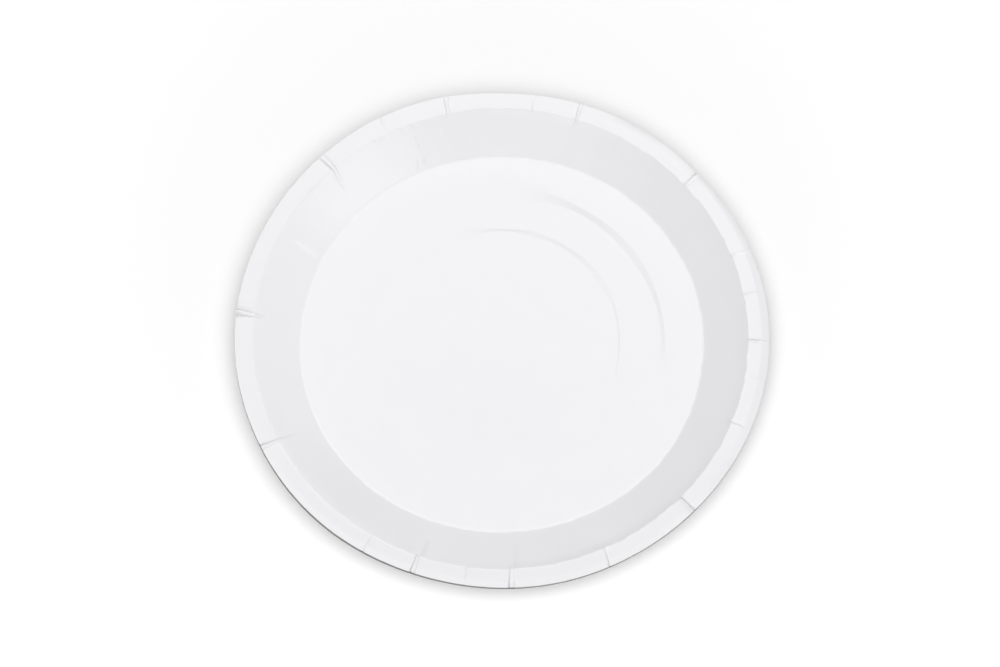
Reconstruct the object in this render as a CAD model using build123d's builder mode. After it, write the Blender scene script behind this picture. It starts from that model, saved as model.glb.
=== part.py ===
from build123d import *
import os

# A round plate pressed from one disc of coated paperboard. It lies face up on its base,
# with the middle of the base at the origin. All sizes are in millimetres.

# Outline, measured on the upper face
plate_diameter = 230.0
board = 0.45
rim_width = 7.8
wall_run = 19.2
dish_depth = 8.1

# The rim is level, and its lip turns down to the cut edge
lip_width = 2.9
lip_drop = 0.6

# Two pressed steps, with creased corners, take the floor down towards the middle panel
ring_inset = 17.6
ring_step = 0.5
ring_run = 2.8
panel_inset = 18.4
panel_step = 0.3
panel_run = 1.4

# Bend radii on the inner side of the board
crease = 0.0
floor_bend = 3.0
rim_bend = 0.9
lip_bend = 1.5

# Folds, where the slack of the edge is tucked and pressed down. The angles run
# counter-clockwise from +X, uneven as the board gathered. A lap lies on the
# counter-clockwise side of its step, and on the other side where the fold is turned.
long_fold_angles = (207.2, 251.0, 272.4)
turned_long_fold_angles = (134.3,)
rim_fold_angles = (294.3, 338.2)
turned_rim_fold_angles = (42.0, 72.8, 103.3, 176.3, 316.3, 359.3)
light_fold_angles = (20.4, 83.0, 262.8)
turned_light_fold_angles = (10.5, 118.2, 239.9, 349.9)
long_fold_reach = 8.0
rim_fold_reach = 1.6
light_fold_reach = 1.0
long_fold_width = 2.4
rim_fold_width = 1.8
light_fold_width = 1.0
fold_tip_width = 0.3
fold_lap = 0.3
light_fold_lap = 0.18
fold_setback = 0.4

# Small nicks in the cut edge, where the deepest folds draw it in
nick_angles = (42.0, 134.3, 176.3, 207.2, 251.0, 272.4, 316.3)
nick_depth = 0.7
nick_width = 1.3

# Radii and heights that follow from the sizes above
plate_radius = plate_diameter / 2
lip_radius = plate_radius - lip_width
rim_radius = plate_radius - rim_width
floor_radius = rim_radius - wall_run
ring_radius = floor_radius - ring_inset
panel_radius = ring_radius - panel_inset
panel_top = board
ledge_top = panel_top + panel_step
floor_top = ledge_top + ring_step
rim_top = floor_top + dish_depth
edge_top = rim_top - lip_drop
wall_slope = dish_depth / wall_run
lip_slope = lip_drop / lip_width


def board_line(corners, bends, depth):
    # Corners and radii of the line that runs at a depth below the upper face. Each bend
    # stays concentric through the thickness of the board, and a crease stays sharp.
    headings = [(Vector(*end) - Vector(*start)).normalized() for start, end in zip(corners, corners[1:])]
    downs = [Vector(heading.Y, -heading.X) for heading in headings]
    sides = zip(corners, [downs[0]] + downs, downs + [downs[-1]])
    points = [Vector(*corner) + (before + after) * (depth / (1 + before.dot(after)))
              for corner, before, after in sides]
    radii = []
    for bend, before, after in zip(bends, headings, headings[1:]):
        turns_up = before.X * after.Y > before.Y * after.X
        to_inner_side = depth if turns_up else board - depth
        radii.append(crease if bend == crease else bend + to_inner_side)
    return points, radii


def band_face(corners, bends, top_depth, bottom_depth):
    # Closed outline between two depths of the board, made into a face of the open sketch.
    with BuildLine() as outline:
        points, radii = board_line(corners, bends, top_depth)
        top = FilletPolyline(*points, radius=radii)
        points, radii = board_line(corners, bends, bottom_depth)
        bottom = FilletPolyline(*points, radius=radii)
        Line(top @ 0, bottom @ 0)
        Line(top @ 1, bottom @ 1)
    make_face(outline.edges())


def tucked_fold(reach, width, lap):
    # One fold along +X: a lap of board with a step on its -Y side, that slopes
    # away into the face on its +Y side and narrows to a tip on the wall.
    tip_radius = rim_radius - reach
    end_radius = plate_radius - fold_setback
    corners = [
        (tip_radius, rim_top - reach * wall_slope),
        (rim_radius, rim_top),
        (lip_radius, rim_top),
        (end_radius, edge_top + fold_setback * lip_slope),
    ]
    bends = [rim_bend, lip_bend]
    along = Vector(end_radius - tip_radius, width - fold_tip_width).normalized()
    slope_side = Plane(
        origin=Vector(tip_radius, fold_tip_width) - along * tip_radius,
        x_dir=along,
        z_dir=along.cross(Vector(0, 0, 1)),
    )
    with BuildPart() as fold:
        with BuildSketch(Plane.XZ):
            band_face(corners, bends, -lap, board / 2)
        with BuildSketch(slope_side):
            band_face(corners, bends, board / 4, board / 2)
        loft()
    return fold.part


long_fold = tucked_fold(long_fold_reach, long_fold_width, fold_lap)
rim_fold = tucked_fold(rim_fold_reach, rim_fold_width, fold_lap)
light_fold = tucked_fold(light_fold_reach, light_fold_width, light_fold_lap)

section_corners = [
    (0, panel_top),
    (panel_radius - panel_run / 2, panel_top),
    (panel_radius + panel_run / 2, ledge_top),
    (ring_radius - ring_run / 2, ledge_top),
    (ring_radius + ring_run / 2, floor_top),
    (floor_radius, floor_top),
    (rim_radius, rim_top),
    (lip_radius, rim_top),
    (plate_radius, edge_top),
]
section_bends = [crease, crease, crease, crease, floor_bend, rim_bend, lip_bend]

with BuildPart() as plate:
    with BuildSketch(Plane.XZ):
        band_face(section_corners, section_bends, 0, board)
    revolve(axis=Axis.Z)
    for fold, angles, turned_angles in (
        (long_fold, long_fold_angles, turned_long_fold_angles),
        (rim_fold, rim_fold_angles, turned_rim_fold_angles),
        (light_fold, light_fold_angles, turned_light_fold_angles),
    ):
        with Locations(*[Location((0, 0, 0), (0, 0, angle)) for angle in angles]):
            add(fold)
        with Locations(*[Location((0, 0, 0), (0, 0, angle)) for angle in turned_angles]):
            add(fold.mirror(Plane.XZ))
    with BuildSketch():
        with Locations(*[Location((0, 0, 0), (0, 0, angle)) for angle in nick_angles]):
            Polygon(
                (plate_radius - nick_depth, 0),
                (plate_radius + nick_depth, -nick_width),
                (plate_radius + nick_depth, nick_width),
                align=None,
            )
    extrude(amount=rim_top, mode=Mode.SUBTRACT)

os.makedirs("parts", exist_ok=True)
plate.part.label = "paper_plate"
export_step(plate.part, "parts/paper_plate.step")
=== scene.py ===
import bpy
import math
import numpy as np
from mathutils import Matrix, Vector


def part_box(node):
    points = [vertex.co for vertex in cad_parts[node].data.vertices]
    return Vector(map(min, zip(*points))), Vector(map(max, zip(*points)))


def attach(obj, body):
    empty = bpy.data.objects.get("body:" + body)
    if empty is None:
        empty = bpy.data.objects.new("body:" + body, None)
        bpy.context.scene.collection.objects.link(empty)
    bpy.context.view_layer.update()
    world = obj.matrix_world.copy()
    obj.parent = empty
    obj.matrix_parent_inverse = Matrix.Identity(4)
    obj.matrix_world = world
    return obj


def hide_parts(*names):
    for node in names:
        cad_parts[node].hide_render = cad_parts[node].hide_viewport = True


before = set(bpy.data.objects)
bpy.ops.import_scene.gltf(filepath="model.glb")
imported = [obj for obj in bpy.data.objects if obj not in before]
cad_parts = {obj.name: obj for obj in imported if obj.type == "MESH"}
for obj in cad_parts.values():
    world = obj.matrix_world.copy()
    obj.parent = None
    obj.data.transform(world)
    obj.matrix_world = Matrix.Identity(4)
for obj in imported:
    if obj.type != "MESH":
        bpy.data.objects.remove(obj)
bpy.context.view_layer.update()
mm = 0.001
cadLow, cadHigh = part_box("paper_plate")
plateRadius = (cadHigh.x - cadLow.x) / 2 / mm  # sizes below are in millimetres, as on a drawing of the board
print("frame loaded, plate %.1f mm across" % (2 * plateRadius))

# what the press made: the section of the board, like the solid's but with shallower steps on the floor
board = {
    "thickness": 0.45,
    "rimWidth": 7.8, "rimBend": 1.3,
    "lipWidth": 2.9, "lipBend": 1.2,
    "wallRun": 19.2, "dishDepth": 8.405, "floorBend": 2.6,
    "ringInset": 17.6, "ringStep": 0.325,
    "panelInset": 18.4, "panelStep": 0.17,
}
rimRadius = plateRadius - board["rimWidth"]
lipRadius = plateRadius - board["lipWidth"]
floorRadius = rimRadius - board["wallRun"]
ringRadius = floorRadius - board["ringInset"]
panelRadius = ringRadius - board["panelInset"]
floorTop = board["thickness"] + board["ringStep"] + board["panelStep"]
rimTop = floorTop + board["dishDepth"]

# how this one plate differs from a true round, as (degrees, value) all the way round
unevenness = {
    # mm that the cut edge stands out
    "reach": [(5, 1.3), (22, 1.0), (41, 0.3), (60, 0.8), (74, 0.3), (88, -0.35), (110, 0.8), (124, 0.6),
              (135, 0.2), (155, -0.4), (182, 0.0), (205, 0.0), (230, 0.3), (251, -0.1), (286, 0.6),
              (300, 0.4), (318, 0.4), (340, 0.8)],
    # mm that the foot of the wall stands out
    "foot": [(15, 0.5), (58, 0.3), (90, -0.2), (135, -0.4), (172, -0.9), (200, -0.3), (265, -0.15),
             (298, 0.0), (320, 0.5), (345, 0.2)],
    # mm that the lip turns down, and how late it does so
    "lipDrop": [(0, 1.25), (20, 1.0), (35, 0.75), (46, 0.6), (62, 0.88), (74, 0.4), (84, 0.15), (130, 0.05),
                (180, 0), (200, -0.06), (225, -0.1), (250, -0.1), (275, -0.07), (305, -0.08), (320, -0.04),
                (332, 0.7), (340, 1.2), (348, 1.25)],
    "lipCurl": [(0, 1.15), (12, 1.2), (24, 1.6), (36, 1.7), (48, 1.3), (60, 1.15), (180, 1.15)],
    # mm that the wall sags, and that the rim stands higher
    "wallSag": [(10, 0.2), (30, 0.12), (60, 0.1), (90, 0.1), (120, 0), (250, 0), (270, 0.12), (300, 0.3),
                (325, 0.34), (350, 0.26)],
    "rimHeight": [(0, 0.0), (40, -0.1), (58, 0.08), (74, -0.06), (92, 0.08), (118, 0.0), (150, 0.1),
                  (190, -0.05), (228, 0.1), (258, -0.06), (283, 0.08), (305, 0.0), (327, 0.07)],
    # mm that each floor step takes, and that it lies further out
    "ringRun": [(358, 2.2), (4, 2.0), (15, 2.2), (32, 3.8), (45, 3.9), (62, 3.3), (69, 4.2), (76, 7.0),
                (95, 20), (120, 26), (300, 26), (340, 14), (352, 4.6)],
    "ringShift": [(0, 0.4), (30, 0.3), (60, 0.5), (180, 0.3)],
    "panelRun": [(0, 0.6), (15, 1.3), (30, 3.0), (45, 2.8), (60, 2.0), (75, 2.9), (90, 0.8), (98, 2.8),
                 (112, 7), (125, 10), (140, 14), (160, 22), (300, 22), (328, 7), (343, 0.7)],
    "panelShift": [(345, -0.2), (0, -0.35), (20, 0.1), (45, 0.4), (60, 0.45), (90, 0.5), (180, 0.2)],
    # mm that the cut edge slants out below, and how much painted shade darkens it
    "edgeSlant": [(90, 0), (170, 0), (185, 0.1), (202, 0.25), (220, 0.57), (240, 0.62), (260, 0.48),
                  (282, 0.38), (300, 0.26), (315, 0.25), (324, 0.18), (340, 0.04), (355, 0)],
    "edgeShade": [(0, 0), (90, 0), (165, 0), (185, 0.3), (202, 0.7), (222, 1), (285, 1), (318, 0.95),
                  (327, 0.6), (337, 0.3)],
}
sagInset = 2.6  # mm in from the rim, where the wall sags most

# the pressed corners run a little unsteadily: mm, mm to each side, and (waves round the plate, start)
rimCorner = {"amount": 0.6, "spread": 4,
             "waves": [(23, 0.4), (41, 2.0), (67, 4.1), (89, 1.3), (127, 2.9), (151, 5.0)]}
floorCorner = {"amount": 0.25, "spread": 4, "waves": [(19, 1.1), (37, 3.0), (61, 0.2), (83, 2.4)]}

# folds: degrees of the line at the cut edge, at the rim's inner edge and at its tip, mm that the tip
# reaches down the wall, mm of lap (minus where it lies clockwise), depth in mm, share of the depth left
# at the cut edge, share of the depth in a second line on the lap's far side, mm of nick in the edge,
# mm of flare at the edge
foldKeys = ("edge", "inner", "tip", "reach", "lap", "depth", "edgeShare", "farShare", "nick", "flare")
foldLines = [
    (358.95, 359.15, 359.35, 1.5, -1.4, 0.26, 0.15, 0.0, 0.1, 0.0),
    (10.5, 10.5, 10.6, 1.0, -1.0, 0.11, 0.0, 0.0, 0.0, 0.0),
    (20.45, 20.7, 20.6, 1.0, 1.2, 0.07, 0.9, 0.0, 0.1, 0.0),
    (42.1, 41.7, 41.6, 1.6, -2.4, 0.125, 1.75, 0.2, 0.6, 0.3),
    (72.95, 72.6, 72.55, 5.2, -1.9, 0.115, 0.6, 0.9, 0.3, 0.0),
    (83.0, 83.0, 83.0, 1.5, 1.2, 0.10, 0.2, 0.0, 0.0, 0.0),
    (103.25, 103.45, 103.35, 2.4, -2.0, 0.10, 1.2, 1.0, 0.2, 0.0),
    (118.1, 118.4, 118.4, 0.8, -1.0, 0.006, 14.0, 0.0, 0.1, 0.0),
    (134.5, 134.3, 134.9, 9.0, -2.8, 0.24, 0.65, 0.8, 0.4, 0.2),
    (176.35, 176.55, 176.35, 5.0, -3.0, 0.23, 1.5, 0.8, 0.3, 1.0),
    (207.25, 207.5, 207.6, 5.0, 2.3, 0.165, 2.4, 0.6, 0.2, 0.3),
    (240.1, 239.9, 239.9, 1.2, -1.0, 0.145, 1.1, 0.0, 0.1, 0.0),
    (251.0, 251.0, 250.9, 1.6, 2.2, 0.21, 1.35, 0.7, 0.15, 0.0),
    (262.8, 262.8, 262.8, 1.2, 1.1, 0.09, 0.1, 0.0, 0.0, 0.0),
    (272.2, 272.5, 272.6, 2.2, 2.6, 0.13, 3.0, 0.5, 0.1, 0.0),
    (293.9, 294.55, 294.65, 1.4, 1.7, 0.11, 2.2, 0.0, 0.05, 0.1),
    (316.1, 316.25, 316.3, 1.6, -1.8, 0.35, 1.1, 0.0, 0.1, 0.0),
    (338.05, 338.05, 338.15, 2.0, 1.5, 0.23, 0.35, 0.0, 0.1, 0.0),
    (350.05, 349.7, 349.8, 1.2, -0.9, 0.05, 0.5, 0.0, 0.0, 0.0),
]
folds = [dict(zip(foldKeys, line)) for line in foldLines]
foldShape = {
    "stepRun": 0.6, "stepLead": 0.1,  # mm the step takes to rise, and mm it starts before the line
    "lapRise": 1.3, "lapBack": 0.6,  # height of the lap in depths, and the share of it left at the back
    "backRun": 0.8,  # share of the lap's width over which its back slopes away
    "innerLap": 0.68, "tipLap": 0.4,  # share of the lap's width at the rim's inner edge and at the tip
    "grooveWidth": 0.32, "farGroove": 0.34, "nickWidth": 0.55,
    "waver": 0.06, "waverRate": 2.2,
    "growLeast": 2.0, "growShare": 1.25,  # mm, and share of the reach, over which a fold grows from its tip
    "fullShade": 0.45, "fullHighlight": 0.2,  # mm of depth or rise that give the whole painted shade or the whole painted highlight
    "backDepth": 0.8, "backShade": 0.5,  # what is left of a groove and of its painted shade on the back of the board
}

# soft ridges that the press left on the wall: mm and degrees, minus where they are grooves; grooves also
# carry painted shade and ridges a painted highlight
ridgeKeys = ("top", "foot", "topRadius", "footRadius", "rise", "halfWidth")
ridgeLines = [
    (252.00, 252.20, 106.5, 98.0, -0.10, 0.45),
    (273.90, 274.25, 106.5, 94.5, -0.06, 0.50),
    (135.00, 135.20, 106.0, 98.0, -0.08, 0.45),
    (207.60, 207.80, 106.0, 99.5, -0.08, 0.50),
    (105.30, 106.00, 102.6, 98.6, 0.08, 0.35),
    (154.00, 154.40, 100.3, 89.8, 0.09, 0.70),
]
ridges = [dict(zip(ridgeKeys, line)) for line in ridgeLines]
ridgeEnd = 1  # mm that a ridge runs out past each end

# painted strokes on the face, painted shade where the tone is minus and painted highlight where it is plus:
# degrees and radius of both ends, half width in mm, tone (minus is darker)
strokeKeys = ("start", "startRadius", "end", "endRadius", "halfWidth", "tone")
paintedStrokeLines = [
    (9.9, 111.3, 10.2, 109.0, 0.40, 0.5),
    (20.05, 113.8, 20.6, 109.3, 0.30, 0.9),
    (20.4, 108.0, 20.5, 107.0, 0.60, -0.25),
    (41.0, 113.0, 41.4, 111.6, 0.50, 0.6),
    (41.2, 111.0, 41.2, 109.0, 0.35, 1.0),
    (73.3, 112.0, 73.15, 109.0, 0.30, 0.6),
    (102.2, 112.5, 102.2, 109.5, 0.25, 0.6),
    (112.2, 101.8, 112.4, 100.4, 0.30, -0.24),
    (112.3, 98.9, 112.2, 97.2, 0.30, -0.24),
    (111.8, 92.9, 112.6, 90.4, 0.35, -0.24),
    (113.8, 93.0, 114.6, 89.8, 0.30, -0.3),
    (120.9, 106.1, 122.3, 107.3, 0.30, -0.2),
    (138.8, 106.6, 141.8, 107.0, 0.30, -0.18),
    (175.9, 106.2, 175.6, 103.4, 0.30, -0.25),
    (273.75, 112.0, 273.75, 108.8, 0.30, 0.6),
    (295.2, 109.2, 295.3, 107.4, 0.40, 0.6),
    (349.7, 109.0, 349.7, 107.4, 0.30, 0.7),
    (358.6, 112.6, 358.6, 111.2, 0.40, 0.5),
]
paintedStrokes = [dict(zip(strokeKeys, line)) for line in paintedStrokeLines]
strokeEnd = 2  # mm past each end in which a painted stroke still shows

# where the mesh is fine and where it is coarse; mm unless noted
meshGrain = {
    "openSpacing": 1.1, "leastGap": 0.045, "holdGap": 3.2,  # degrees between columns, and round a fold
    "sharpAngle": 30,  # degrees
    "foldOffsets": [-2.2, -1.4, -0.9, -0.6, -0.42, -0.3, -0.2, -0.1, 0.0,
                    0.1, 0.2, 0.3, 0.42, 0.6, 0.9, 1.4, 2.2],
    "farOffsets": [-0.6, -0.35, -0.18, 0.0, 0.18, 0.35, 0.6],
    "ridgeOffsets": [-2, -1, -0.5, 0, 0.5, 1, 2], "strokeOffsets": [-1.2, 0, 1.2],  # in half widths
    "ridgeRadius": 100,
    "steerFrom": 2, "steerOver": 8,  # up from the foot of the wall
    "sectionStart": 4.5, "floorEnd": 2,  # in from the foot of the wall
    "rowSpacing": [1.5, 1.3, 0.5, 0.42], "bendRows": 5,  # floor, wall, rim and lip
    "innerColumns": 180, "middleColumns": 36, "middleRadius": 12,
    "panelRings": [3, 6, 10, 14, 19, 24, 30, 36, 42, 46, 48.5],
    "ledgeRings": [56, 58.5, 61, 63.5, 66], "floorRings": [74.5, 76.5, 78.5, 80.5],
    "stepBand": 2.4, "faceStepRows": 17, "backStepRows": 5, "fullBackRows": 12,
}
steerRadius = rimRadius + 2  # columns are laid out here and then follow the folds in and out
faceFinish, edgeFinish, backFinish = 0, 1, 2


def roundTable(name, degrees):
    # smooth closed curve through the (degrees, value) pairs of one unevenness
    pairs = sorted(unevenness[name])
    angles = np.array([a for a, v in pairs], float)
    values = np.array([v for a, v in pairs], float)
    angles = np.concatenate([angles[-2:] - 360, angles, angles[:2] + 360])
    values = np.concatenate([values[-2:], values, values[:2]])
    slopes = np.gradient(values, angles)
    d = np.mod(np.asarray(degrees, float), 360)
    i = np.clip(np.searchsorted(angles, d) - 1, 0, len(angles) - 2)
    gap = angles[i + 1] - angles[i]
    t = (d - angles[i]) / gap
    return ((2 * t**3 - 3 * t**2 + 1) * values[i] + (t**3 - 2 * t**2 + t) * gap * slopes[i]
            + (3 * t**2 - 2 * t**3) * values[i + 1] + (t**3 - t**2) * gap * slopes[i + 1])


def ease(x):
    x = np.clip(x, 0, 1)
    return x * x * (3 - 2 * x)


def ramp(x):
    # straight slope with short rounded ends
    end = 0.15
    x = np.clip(x, 0, 1)
    low = x * x / (2 * end)
    high = 1 - end - (1 - x) ** 2 / (2 * end)
    return np.where(x < end, low, np.where(x > 1 - end, high, x - end / 2)) / (1 - end)


def toDegrees(width, radius):
    return np.degrees(width / radius)


def gapTo(angle, line):
    # signed degrees from a line, the short way round
    return np.mod(angle - line + 180, 360) - 180


def sectionRows():
    # points along the upper face from the outer floor to the cut edge: radius, height and the face's normal
    corners = [Vector(corner) for corner in (
        (floorRadius - meshGrain["sectionStart"], floorTop), (floorRadius, floorTop),
        (rimRadius, rimTop), (lipRadius, rimTop), (plateRadius, rimTop))]
    bends = [board["floorBend"], board["rimBend"], board["lipBend"]]
    bendRows = meshGrain["bendRows"]
    rows = []
    start = corners[0]
    for k in range(1, len(corners)):
        heading = (corners[k] - corners[k - 1]).normalized()
        lastRun = k == len(corners) - 1
        if lastRun:
            end = corners[k]
        else:
            nextHeading = (corners[k + 1] - corners[k]).normalized()
            turn = math.asin(heading.x * nextHeading.y - heading.y * nextHeading.x)
            setback = bends[k - 1] * math.tan(abs(turn) / 2)
            end = corners[k] - heading * setback
        steps = max(2, round((end - start).length / meshGrain["rowSpacing"][k - 1]))
        for i in range(steps + (1 if lastRun else 0)):
            p = start.lerp(end, i / steps)
            rows.append((p.x, p.y, -heading.y, heading.x))
        if not lastRun:
            base = math.atan2(heading.y, heading.x)
            side = 1 if turn > 0 else -1
            centre = end + Vector((-heading.y, heading.x)) * (side * bends[k - 1])
            for i in range(bendRows):
                a = base + turn * i / bendRows
                n = Vector((-math.sin(a), math.cos(a)))
                p = centre - n * (side * bends[k - 1])
                rows.append((p.x, p.y, n.x, n.y))
            start = corners[k] + nextHeading * setback
    return np.array(rows)


def alongFold(fold, radius, edge, inner, tip):
    # a value that changes along a fold, given at the cut edge, the rim's inner edge and the tip
    return np.interp(radius, [rimRadius - fold["reach"], rimRadius, plateRadius], [tip, inner, edge])


def foldPath(fold, radius):
    # degrees of the fold's dark line at a radius, a little unsteady
    waver = foldShape["waver"] * math.sin(foldShape["waverRate"] * radius + fold["edge"])
    return alongFold(fold, radius, fold["edge"], fold["inner"], fold["tip"]) + waver


def lapWidth(fold, radius):
    lap = fold["lap"]
    return alongFold(fold, radius, lap, lap * foldShape["innerLap"], lap * foldShape["tipLap"])


def foldSides(fold, radius):
    # degrees of the fold's line and of the lap's far side
    line = foldPath(fold, radius)
    return line, line + toDegrees(lapWidth(fold, radius), radius)


def columnAngles():
    # columns crowd at the fold lines, at the far side of each lap, and at the ridges and painted strokes
    lines = []
    for fold in folds:
        line, far = foldSides(fold, steerRadius)
        lines += [line + toDegrees(o, steerRadius) for o in meshGrain["foldOffsets"]]
        lines += [far + toDegrees(o, steerRadius) for o in meshGrain["farOffsets"]]
    for ridge in ridges:
        lines += [ridge["top"] + toDegrees(o * ridge["halfWidth"], meshGrain["ridgeRadius"])
                  for o in meshGrain["ridgeOffsets"]]
    for strokeLine in paintedStrokes:
        for place in (strokeLine["start"], (strokeLine["start"] + strokeLine["end"]) / 2, strokeLine["end"]):
            lines += [place + toDegrees(o * strokeLine["halfWidth"], strokeLine["startRadius"])
                      for o in meshGrain["strokeOffsets"]]
    lines = sorted(np.mod(lines, 360))
    kept = [lines[0]]
    for line in lines[1:]:
        if line - kept[-1] > meshGrain["leastGap"]:
            kept.append(line)
    columns = []
    for a, b in zip(kept, kept[1:] + [kept[0] + 360]):
        parts = max(1, math.ceil((b - a) / meshGrain["openSpacing"]))
        columns += [a + (b - a) * i / parts for i in range(parts)]
    return np.array(columns)


def steeredAngles(columns, radius):
    # each column follows the fold line it belongs to, and the middles of the panels stay put
    share = float(ease((radius - (floorRadius + meshGrain["steerFrom"])) / meshGrain["steerOver"]))
    known, moved = [], []
    for fold in folds:
        laid = foldSides(fold, steerRadius)
        for u, v in sorted(zip(laid, foldSides(fold, radius))):
            known.append(u)
            moved.append(u + (v - u) * share)
        for side in (-meshGrain["holdGap"], meshGrain["holdGap"]):
            u = sum(laid) / 2 + side
            known.append(u)
            moved.append(u)
    known, moved = np.array(known), np.array(moved)
    order = np.argsort(np.mod(known, 360))
    shift = (moved - known)[order]
    known = np.mod(known, 360)[order]
    return columns + np.interp(np.mod(columns, 360), known, shift, period=360)


def addFold(relief, fold, angles, radius):
    tipRadius = rimRadius - fold["reach"]
    if radius <= tipRadius:
        return
    side = math.copysign(1, fold["lap"])
    across = np.radians(gapTo(angles, foldPath(fold, radius))) * radius * side  # mm into the lap
    width = abs(lapWidth(fold, radius))
    outward = float(np.clip((radius - rimRadius) / board["rimWidth"], 0, 1))
    growRun = max(foldShape["growLeast"], foldShape["growShare"] * fold["reach"])
    grown = float(ease((radius - tipRadius) / growRun))
    depth = fold["depth"] * grown * (1 + (fold["edgeShare"] - 1) * outward**1.5)
    backRun = foldShape["stepRun"] + (1 - fold["farShare"]) * foldShape["backRun"] * width
    lap = ease((across + foldShape["stepLead"]) / foldShape["stepRun"])
    lap = lap * (1 - ease((across - width + backRun / 2) / backRun))
    lapBack = foldShape["lapBack"]
    lean = lapBack + (1 - lapBack) * (1 - np.clip(across / width, 0, 1))  # highest at the lap's open edge
    grooveWidth = foldShape["grooveWidth"] + fold["flare"] * outward**2
    dip = np.exp(-((across / grooveWidth) ** 2))
    dip += fold["farShare"] * np.exp(-(((across - width) / foldShape["farGroove"]) ** 2))
    relief["height"] += depth * (foldShape["lapRise"] * lap * lean - dip)
    # painted shade along the groove, as strong as the fold is deep
    relief["crease"] += depth / foldShape["fullShade"] * dip
    relief["nick"] += fold["nick"] * np.exp(-((across / foldShape["nickWidth"]) ** 2))


def addRidge(relief, ridge, angles, radius):
    foot, top = ridge["footRadius"], ridge["topRadius"]
    if not foot - ridgeEnd < radius < top + ridgeEnd:
        return
    line = ridge["foot"] + (ridge["top"] - ridge["foot"]) * (radius - foot) / (top - foot)
    across = np.radians(gapTo(angles, line)) * radius
    grown = float(ease((radius - foot + ridgeEnd) / (2 * ridgeEnd))
                  * ease((top + ridgeEnd - radius) / (2 * ridgeEnd)))
    bump = np.exp(-((across / ridge["halfWidth"]) ** 2))
    relief["height"] += grown * ridge["rise"] * bump
    # painted shade along a groove, painted highlight along a ridge
    relief["crease"] += grown * max(0, -ridge["rise"]) / foldShape["fullShade"] * bump
    relief["paintedHighlight"] += grown * max(0, ridge["rise"]) / foldShape["fullHighlight"] * bump


def addPaintedStroke(relief, strokeLine, angles, radius):
    ends = (strokeLine["startRadius"], strokeLine["endRadius"])
    if not min(ends) - strokeEnd < radius < max(ends) + strokeEnd:
        return
    across = np.radians(gapTo(angles, strokeLine["start"])) * radius
    out = radius - ends[0]
    run = np.array([math.radians(strokeLine["end"] - strokeLine["start"]) * radius, ends[1] - ends[0]])
    share = np.clip((across * run[0] + out * run[1]) / (run @ run), 0, 1)
    gap = np.hypot(across - share * run[0], out - share * run[1])
    stroke = np.exp(-((gap / strokeLine["halfWidth"]) ** 2))
    # painted shade where the tone is minus, painted highlight where it is plus
    relief["crease"] += max(0, -strokeLine["tone"]) * stroke
    relief["paintedHighlight"] += max(0, strokeLine["tone"]) * stroke


def faceRelief(angles, radius):
    # height above the pressed face, nick in the edge, and how much painted shade or painted highlight each
    # point takes
    relief = {name: np.zeros(len(angles)) for name in ("height", "nick", "crease", "paintedHighlight")}
    for fold in folds:
        addFold(relief, fold, angles, radius)
    for ridge in ridges:
        addRidge(relief, ridge, angles, radius)
    for strokeLine in paintedStrokes:
        addPaintedStroke(relief, strokeLine, angles, radius)
    return relief["height"], relief["nick"], np.clip(relief["crease"], 0, 1), np.clip(relief["paintedHighlight"], 0, 1)


def cornerWaver(degrees, corner):
    a = np.radians(degrees)
    waves = corner["waves"]
    return corner["amount"] * sum(np.sin(count * a + start) for count, start in waves) / len(waves)


def floorHeight(radius, degrees):
    # the two pressed steps; where a run is long the step fades into the floor
    height = floorTop
    for name, middle in (("ring", ringRadius), ("panel", panelRadius)):
        out = radius - middle - roundTable(name + "Shift", degrees)
        height = height - board[name + "Step"] * (1 - ramp(out / roundTable(name + "Run", degrees) + 0.5))
    return height


def placeRing(radius, degrees, z, crease, paintedHighlight, finish):
    # the finish is that of the band which leads to this ring
    a = np.radians(degrees)
    points = np.stack([radius * np.cos(a), radius * np.sin(a), z], 1)
    return {"points": points, "crease": crease, "paintedHighlight": paintedHighlight, "finish": finish}


def floorRadii(stepRows):
    # rings crowd at the two pressed steps
    band = np.linspace(-meshGrain["stepBand"], meshGrain["stepBand"], stepRows)
    return [*meshGrain["panelRings"], *(panelRadius + band), *meshGrain["ledgeRings"],
            *(ringRadius + band), *meshGrain["floorRings"]]


def floorRing(radius, finish):
    inMiddle = radius < meshGrain["middleRadius"]
    count = meshGrain["middleColumns"] if inMiddle else meshGrain["innerColumns"]
    degrees = np.arange(count) * 360 / count
    z = floorHeight(radius, degrees) - (board["thickness"] if finish == backFinish else 0)
    return placeRing(radius, degrees, z, np.zeros(count), np.zeros(count), finish)


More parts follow.
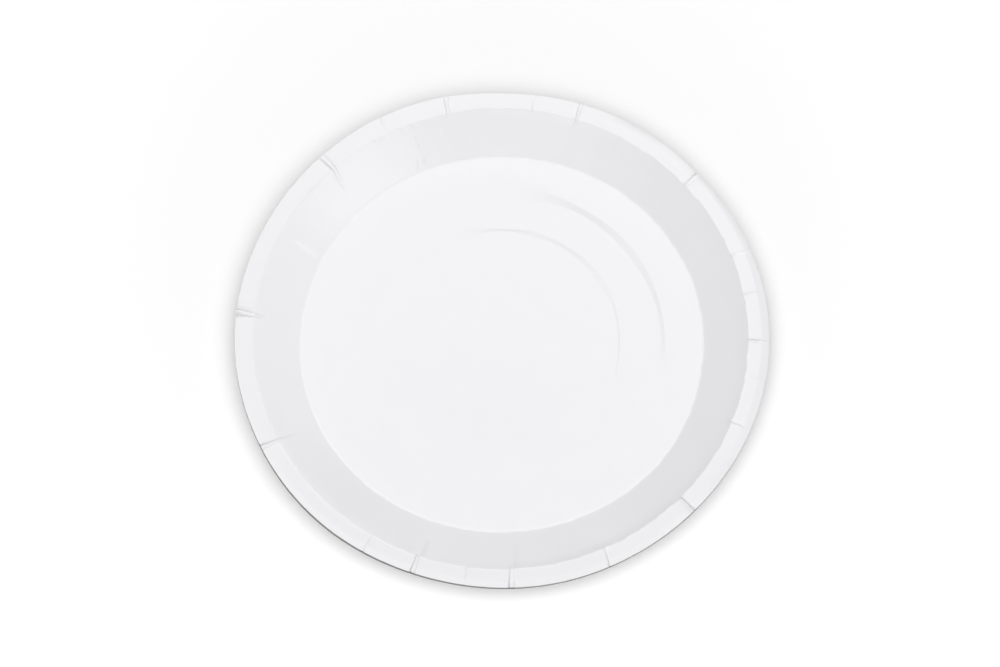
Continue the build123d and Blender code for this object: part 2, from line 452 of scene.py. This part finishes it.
def faceRing(columns, row, finish):
    r, z, nr, nz = row
    degrees = steeredAngles(columns, r)
    height, nick, crease, paintedHighlight = faceRelief(degrees, r)
    rimShare = float(np.clip((r - rimRadius) / board["rimWidth"], 0, 1))
    lipShare = float(np.clip((r - lipRadius) / board["lipWidth"], 0, 1))
    upWall = (r - floorRadius) / board["wallRun"]
    atRim = float(ease(1 - abs(r - rimRadius) / rimCorner["spread"]))
    atFoot = float(ease(1 - upWall) * ease((r - floorRadius) / floorCorner["spread"] + 1))

    reach = (roundTable("reach", degrees) - nick) * rimShare
    reach += atRim * cornerWaver(degrees, rimCorner)
    reach += atFoot * (cornerWaver(degrees, floorCorner) + roundTable("foot", degrees))
    drop = roundTable("lipDrop", degrees) * lipShare ** roundTable("lipCurl", degrees)
    lift = roundTable("rimHeight", degrees) * float(ease(upWall))
    sagShare = np.interp(r, [floorRadius, rimRadius - sagInset, rimRadius], [0, 1, 0])
    lift -= roundTable("wallSag", degrees) * sagShare
    if r < floorRadius - meshGrain["floorEnd"]:
        z = floorHeight(r, degrees)
    if finish != faceFinish:
        height = np.minimum(height, 0) * foldShape["backDepth"] - board["thickness"]  # only grooves show
        crease, paintedHighlight = crease * foldShape["backShade"], paintedHighlight * 0
    if finish == edgeFinish:  # the trimmed edge stands out below
        reach += roundTable("edgeSlant", degrees)
        # painted shade on the cut edge, darkest on the front left
        crease = roundTable("edgeShade", degrees)
    return placeRing(r + reach + nr * height, degrees, z - drop + lift + nz * height, crease, paintedHighlight, finish)


def facesBetween(a, startA, b, startB):
    # faces between two rings of points, whatever their counts
    na, nb = len(a), len(b)
    if na == nb:
        pairs = [(i, (i + 1) % na) for i in range(na)]
        return [(startA + i, startB + i, startB + j, startA + j) for i, j in pairs]
    fullTurn = 2 * math.pi
    angleA = np.unwrap(np.arctan2(a[:, 1], a[:, 0]))
    angleB = np.unwrap(np.arctan2(b[:, 1], b[:, 0]))
    turnA = np.append(angleA, angleA[0] + fullTurn)
    shift = int(np.argmin(np.abs(np.mod(angleB - angleA[0] + math.pi, fullTurn) - math.pi)))
    orderB = [(shift + k) % nb for k in range(nb)] + [shift]
    turnB = np.unwrap(angleB[orderB])
    turnB += fullTurn * round((turnA[0] - turnB[0]) / fullTurn)
    faces = []
    i = j = 0
    while i < na or j < nb:
        here = (startA + i % na, startB + orderB[j])
        if j == nb or (i < na and turnA[i + 1] <= turnB[j + 1]):
            i += 1
            faces.append((*here, startA + i % na))
        else:
            j += 1
            faces.append((*here, startB + orderB[j]))
    return faces


def plateMesh():
    # rings of points from the middle of the face out over the edge and back under to the middle
    columns = columnAngles()
    rows = sectionRows()
    backRows = [row for i, row in enumerate(rows[::-1]) if i < meshGrain["fullBackRows"] or i % 2 == 0]
    rings = [floorRing(radius, faceFinish) for radius in floorRadii(meshGrain["faceStepRows"])]
    rings += [faceRing(columns, row, faceFinish) for row in rows]
    rings += [faceRing(columns, row, edgeFinish if i == 0 else backFinish) for i, row in enumerate(backRows)]
    rings += [floorRing(radius, backFinish) for radius in reversed(floorRadii(meshGrain["backStepRows"]))]

    starts = np.cumsum([0] + [len(ring["points"]) for ring in rings]).tolist()
    faceMiddle, backMiddle = starts[-1], starts[-1] + 1
    points = np.concatenate([ring["points"] for ring in rings] + [[(0, 0, board["thickness"]), (0, 0, 0)]])
    tones = {name: np.concatenate([ring[name] for ring in rings] + [[0, 0]]) for name in ("crease", "paintedHighlight")}

    faces, finishes = [], []
    for k in range(1, len(rings)):
        band = facesBetween(rings[k - 1]["points"], starts[k - 1], rings[k]["points"], starts[k])
        faces += band
        finishes += [rings[k]["finish"]] * len(band)
    for middle, k, finish in ((faceMiddle, 0, faceFinish), (backMiddle, len(rings) - 1, backFinish)):
        count = len(rings[k]["points"])
        for i in range(count):
            pair = (starts[k] + i, starts[k] + (i + 1) % count)
            faces.append((middle, *(pair if finish == faceFinish else pair[::-1])))
            finishes.append(finish)
    return points * mm, tones, faces, finishes


# creaseTone: share of the colour left under full painted shade
coatedFace = {"name": "coated_white_face", "colour": (0.869, 0.864, 0.883), "roughness": 0.22,
              "grain": 900, "grainBump": 0.05, "creaseTone": 0.70}
# the cut edge is greyer than the faces, partly from the rough fibres' own tone and partly from painted shade
cutEdge = {"name": "cut_board_edge", "colour": (0.42, 0.415, 0.40), "roughness": 0.9,
           "grain": 2600, "grainBump": 0.3, "creaseTone": 0.25}
plainBack = {"name": "plain_board_back", "colour": (0.82, 0.82, 0.815), "roughness": 0.8,
             "grain": 1200, "grainBump": 0.15, "creaseTone": 0.9}
paper = {
    "fibreDetail": 5, "fibreRoughness": 0.6, "fibreHeight": 0.0001,  # height in metres
    "cloudScale": 70, "cloudDetail": 3, "cloudFrom": 0.3, "cloudTo": 0.7,
    "cloudDark": 0.993, "cloudLight": 1.004, "highlightTone": 1.09,  # times the colour; the last one is the painted highlight
    "glossier": 0.015, "duller": 0.02, "refraction": 1.5,  # off and on the roughness, and its gloss
}


def toned(colour, tone):
    return (*[min(1, c * tone) for c in colour], 1)


def noise(nodes, links, place, scale, detail):
    texture = nodes.new("ShaderNodeTexNoise")
    texture.inputs["Scale"].default_value = scale
    texture.inputs["Detail"].default_value = detail
    links.new(place.outputs["Object"], texture.inputs["Vector"])
    return texture


def toneWhere(nodes, links, name, base, tone):
    # the base colour turns to a tone where the mesh's own value goes from 0 to 1
    amount = nodes.new("ShaderNodeAttribute")
    amount.attribute_name = name
    mix = nodes.new("ShaderNodeMix")
    mix.data_type = "RGBA"
    mix.inputs[7].default_value = tone  # by number, since the mix node's sockets share their names
    links.new(amount.outputs["Fac"], mix.inputs[0])
    links.new(base, mix.inputs[6])
    return mix.outputs[2]


def paperFinish(look):
    # paperboard: fine fibre relief, faint cloudiness in colour and sheen, painted shade in the grooves and
    # on the cut edge, and painted highlights
    material = bpy.data.materials.new(look["name"])
    material.use_nodes = True
    nodes, links = material.node_tree.nodes, material.node_tree.links
    shader = nodes["Principled BSDF"]
    shader.inputs["IOR"].default_value = paper["refraction"]
    place = nodes.new("ShaderNodeTexCoord")
    fibre = noise(nodes, links, place, look["grain"], paper["fibreDetail"])
    fibre.inputs["Roughness"].default_value = paper["fibreRoughness"]
    cloud = noise(nodes, links, place, paper["cloudScale"], paper["cloudDetail"])

    tint = nodes.new("ShaderNodeValToRGB")
    dark, light = tint.color_ramp.elements
    dark.position, light.position = paper["cloudFrom"], paper["cloudTo"]
    dark.color = toned(look["colour"], paper["cloudDark"])
    light.color = toned(look["colour"], paper["cloudLight"])
    links.new(cloud.outputs["Fac"], tint.inputs["Fac"])
    creased = toned(look["colour"], look["creaseTone"])
    # lighter colour for the painted highlights
    highlightColour = toned(look["colour"], paper["highlightTone"])
    colour = toneWhere(nodes, links, "crease", tint.outputs["Color"], creased)
    colour = toneWhere(nodes, links, "paintedHighlight", colour, highlightColour)
    links.new(colour, shader.inputs["Base Color"])

    sheen = nodes.new("ShaderNodeMapRange")
    sheen.inputs["To Min"].default_value = look["roughness"] - paper["glossier"]
    sheen.inputs["To Max"].default_value = look["roughness"] + paper["duller"]
    links.new(cloud.outputs["Fac"], sheen.inputs["Value"])
    links.new(sheen.outputs["Result"], shader.inputs["Roughness"])

    bump = nodes.new("ShaderNodeBump")
    bump.inputs["Strength"].default_value = look["grainBump"]
    bump.inputs["Distance"].default_value = paper["fibreHeight"]
    links.new(fibre.outputs["Fac"], bump.inputs["Height"])
    links.new(bump.outputs["Normal"], shader.inputs["Normal"])
    return material


def makePlate():
    points, tones, faces, finishes = plateMesh()
    mesh = bpy.data.meshes.new("paper_plate_board")
    mesh.from_pydata(points.tolist(), [], faces)
    mesh.polygons.foreach_set("material_index", np.array(finishes, np.int32))
    for name, values in tones.items():
        layer = mesh.attributes.new(name, "FLOAT", "POINT")
        layer.data.foreach_set("value", np.array(values, np.float32))
    mesh.shade_smooth()
    mesh.set_sharp_from_angle(angle=math.radians(meshGrain["sharpAngle"]))
    mesh.update()
    plate = bpy.data.objects.new("pressed_plate", mesh)
    bpy.context.scene.collection.objects.link(plate)
    print("pressed plate: %d points, %d faces" % (len(points), len(faces)))
    for look in (coatedFace, cutEdge, plainBack):  # in the order of the finishes
        mesh.materials.append(paperFinish(look))
    return plate


plate = makePlate()
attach(plate, "root")
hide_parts("paper_plate")
print("paperboard finishes on")

studio = {
    "tableSize": 2.6, "tableColour": (0.92, 0.92, 0.92), "tableDrop": 0.00006,  # metres below the base
    "tableGlow": 0.05, "farGlow": 0.7, "glowFrom": 0.12, "glowTo": 1.2,  # metres from the plate's middle
    "fill": 0.06, "white": 1, "lampDistance": 2.5,
    "topPlace": (0.15, -1.4, 2.5), "topSize": 5.7, "topWatts": 153.0,  # hangs level above the table
    # name, azimuth, elevation, width and height in metres, watts
    "plateSoftboxes": [
        ("back_softbox", 90, 51, 2.0, 2.0, 26.6),
        ("front_softbox", 256, 46, 3.0, 1.9, 39.0),
        ("key_softbox", 336, 57, 1.3, 1.3, 7.2),
        ("side_softbox", 12, 40, 3.6, 3.6, 17.0),
    ],
}


def whiteRays(nodes, links):
    # 1 for the rays that see the white studio: camera, gloss and glass
    rays = nodes.new("ShaderNodeLightPath")
    plain = nodes.new("ShaderNodeMath")
    plain.operation = "ADD"
    every = nodes.new("ShaderNodeMath")
    every.operation = "ADD"
    every.use_clamp = True
    links.new(rays.outputs["Is Camera Ray"], plain.inputs[0])
    links.new(rays.outputs["Is Glossy Ray"], plain.inputs[1])
    links.new(plain.outputs[0], every.inputs[0])
    links.new(rays.outputs["Is Transmission Ray"], every.inputs[1])
    return every.outputs[0]


def makeTable():
    bpy.ops.mesh.primitive_plane_add(size=studio["tableSize"], location=(0, 0, -studio["tableDrop"]))
    table = bpy.context.object
    table.name = "table"
    material = bpy.data.materials.new("white_table")
    material.use_nodes = True
    nodes, links = material.node_tree.nodes, material.node_tree.links
    nodes.clear()
    out = nodes.new("ShaderNodeOutputMaterial")
    paint = nodes.new("ShaderNodeBsdfDiffuse")
    paint.inputs["Color"].default_value = (*studio["tableColour"], 1)
    # a glow for the eye alone lifts the open table to white, and more so far out, where the lamps fall off
    glow = nodes.new("ShaderNodeEmission")
    place = nodes.new("ShaderNodeTexCoord")
    away = nodes.new("ShaderNodeVectorMath")
    away.operation = "LENGTH"
    level = nodes.new("ShaderNodeMapRange")
    level.inputs["From Min"].default_value = studio["glowFrom"]
    level.inputs["From Max"].default_value = studio["glowTo"]
    level.inputs["To Min"].default_value = studio["tableGlow"]
    level.inputs["To Max"].default_value = studio["farGlow"]
    seen = nodes.new("ShaderNodeMath")
    seen.operation = "MULTIPLY"
    add = nodes.new("ShaderNodeAddShader")
    links.new(place.outputs["Object"], away.inputs[0])
    links.new(away.outputs["Value"], level.inputs["Value"])
    links.new(level.outputs["Result"], seen.inputs[0])
    links.new(whiteRays(nodes, links), seen.inputs[1])
    links.new(seen.outputs[0], glow.inputs["Strength"])
    links.new(paint.outputs[0], add.inputs[0])
    links.new(glow.outputs[0], add.inputs[1])
    links.new(add.outputs[0], out.inputs["Surface"])
    table.data.materials.append(material)
    return table


def aim(azimuth, elevation):
    a, e = math.radians(azimuth), math.radians(elevation)
    return Vector((math.cos(a) * math.cos(e), math.sin(a) * math.cos(e), math.sin(e)))


def makeSoftbox(name, place, facing, width, height, watts, lit):
    light = bpy.data.lights.new(name, "AREA")
    light.shape = "ELLIPSE"
    light.size = width
    light.size_y = height
    light.energy = watts
    lamp = bpy.data.objects.new(name, light)
    bpy.context.scene.collection.objects.link(lamp)
    lamp.location = place
    lamp.rotation_euler = facing.to_track_quat("-Z", "Y").to_euler()
    lamp.light_linking.receiver_collection = lit


def litGroup(name, piece):
    group = bpy.data.collections.new(name)
    group.objects.link(piece)
    return group


def makeLights(table):
    # the table has a wide softbox of its own overhead, so that the shadow is soft and even all round
    size = studio["topSize"]
    makeSoftbox("top_softbox", studio["topPlace"], Vector((0, 0, -1)), size, size, studio["topWatts"],
                litGroup("lit_table", table))
    plateGroup = litGroup("lit_plate", plate)
    for name, azimuth, elevation, width, height, watts in studio["plateSoftboxes"]:
        place = aim(azimuth, elevation) * studio["lampDistance"]
        makeSoftbox(name, place, -place, width, height, watts, plateGroup)
    world = bpy.data.worlds.new("white_studio")
    bpy.context.scene.world = world
    world.use_nodes = True
    nodes, links = world.node_tree.nodes, world.node_tree.links
    sky = nodes["Background"]
    sky.inputs["Color"].default_value = (1, 1, 1, 1)
    level = nodes.new("ShaderNodeMapRange")
    level.inputs["To Min"].default_value = studio["fill"]
    level.inputs["To Max"].default_value = studio["white"]
    links.new(whiteRays(nodes, links), level.inputs["Value"])
    links.new(level.outputs["Result"], sky.inputs["Strength"])


eye = {
    "distance": 1.6, "elevation": 68.307, "roll": -0.56, "target": (-0.00025, 0.0036, 0),
    "lens": 132.32, "sensor": 36, "near": 0.05, "far": 50,
}


def makeCamera():
    e, roll = math.radians(eye["elevation"]), math.radians(eye["roll"])
    back = Vector((0, -math.cos(e), math.sin(e)))
    right = Vector((1, 0, 0))
    up = back.cross(right)
    tiltedRight = right * math.cos(roll) - up * math.sin(roll)
    tiltedUp = right * math.sin(roll) + up * math.cos(roll)
    data = bpy.data.cameras.new("eye")
    data.lens = eye["lens"]
    data.sensor_width = eye["sensor"]
    data.clip_start = eye["near"]
    data.clip_end = eye["far"]
    camera = bpy.data.objects.new("eye", data)
    bpy.context.scene.collection.objects.link(camera)
    turn = Matrix((tiltedRight, tiltedUp, back)).transposed().to_4x4()
    camera.matrix_world = Matrix.Translation(Vector(eye["target"]) + back * eye["distance"]) @ turn
    bpy.context.scene.camera = camera


makeLights(makeTable())
makeCamera()
bpy.context.scene.view_settings.view_transform = "Standard"
print("table, lights and camera set")
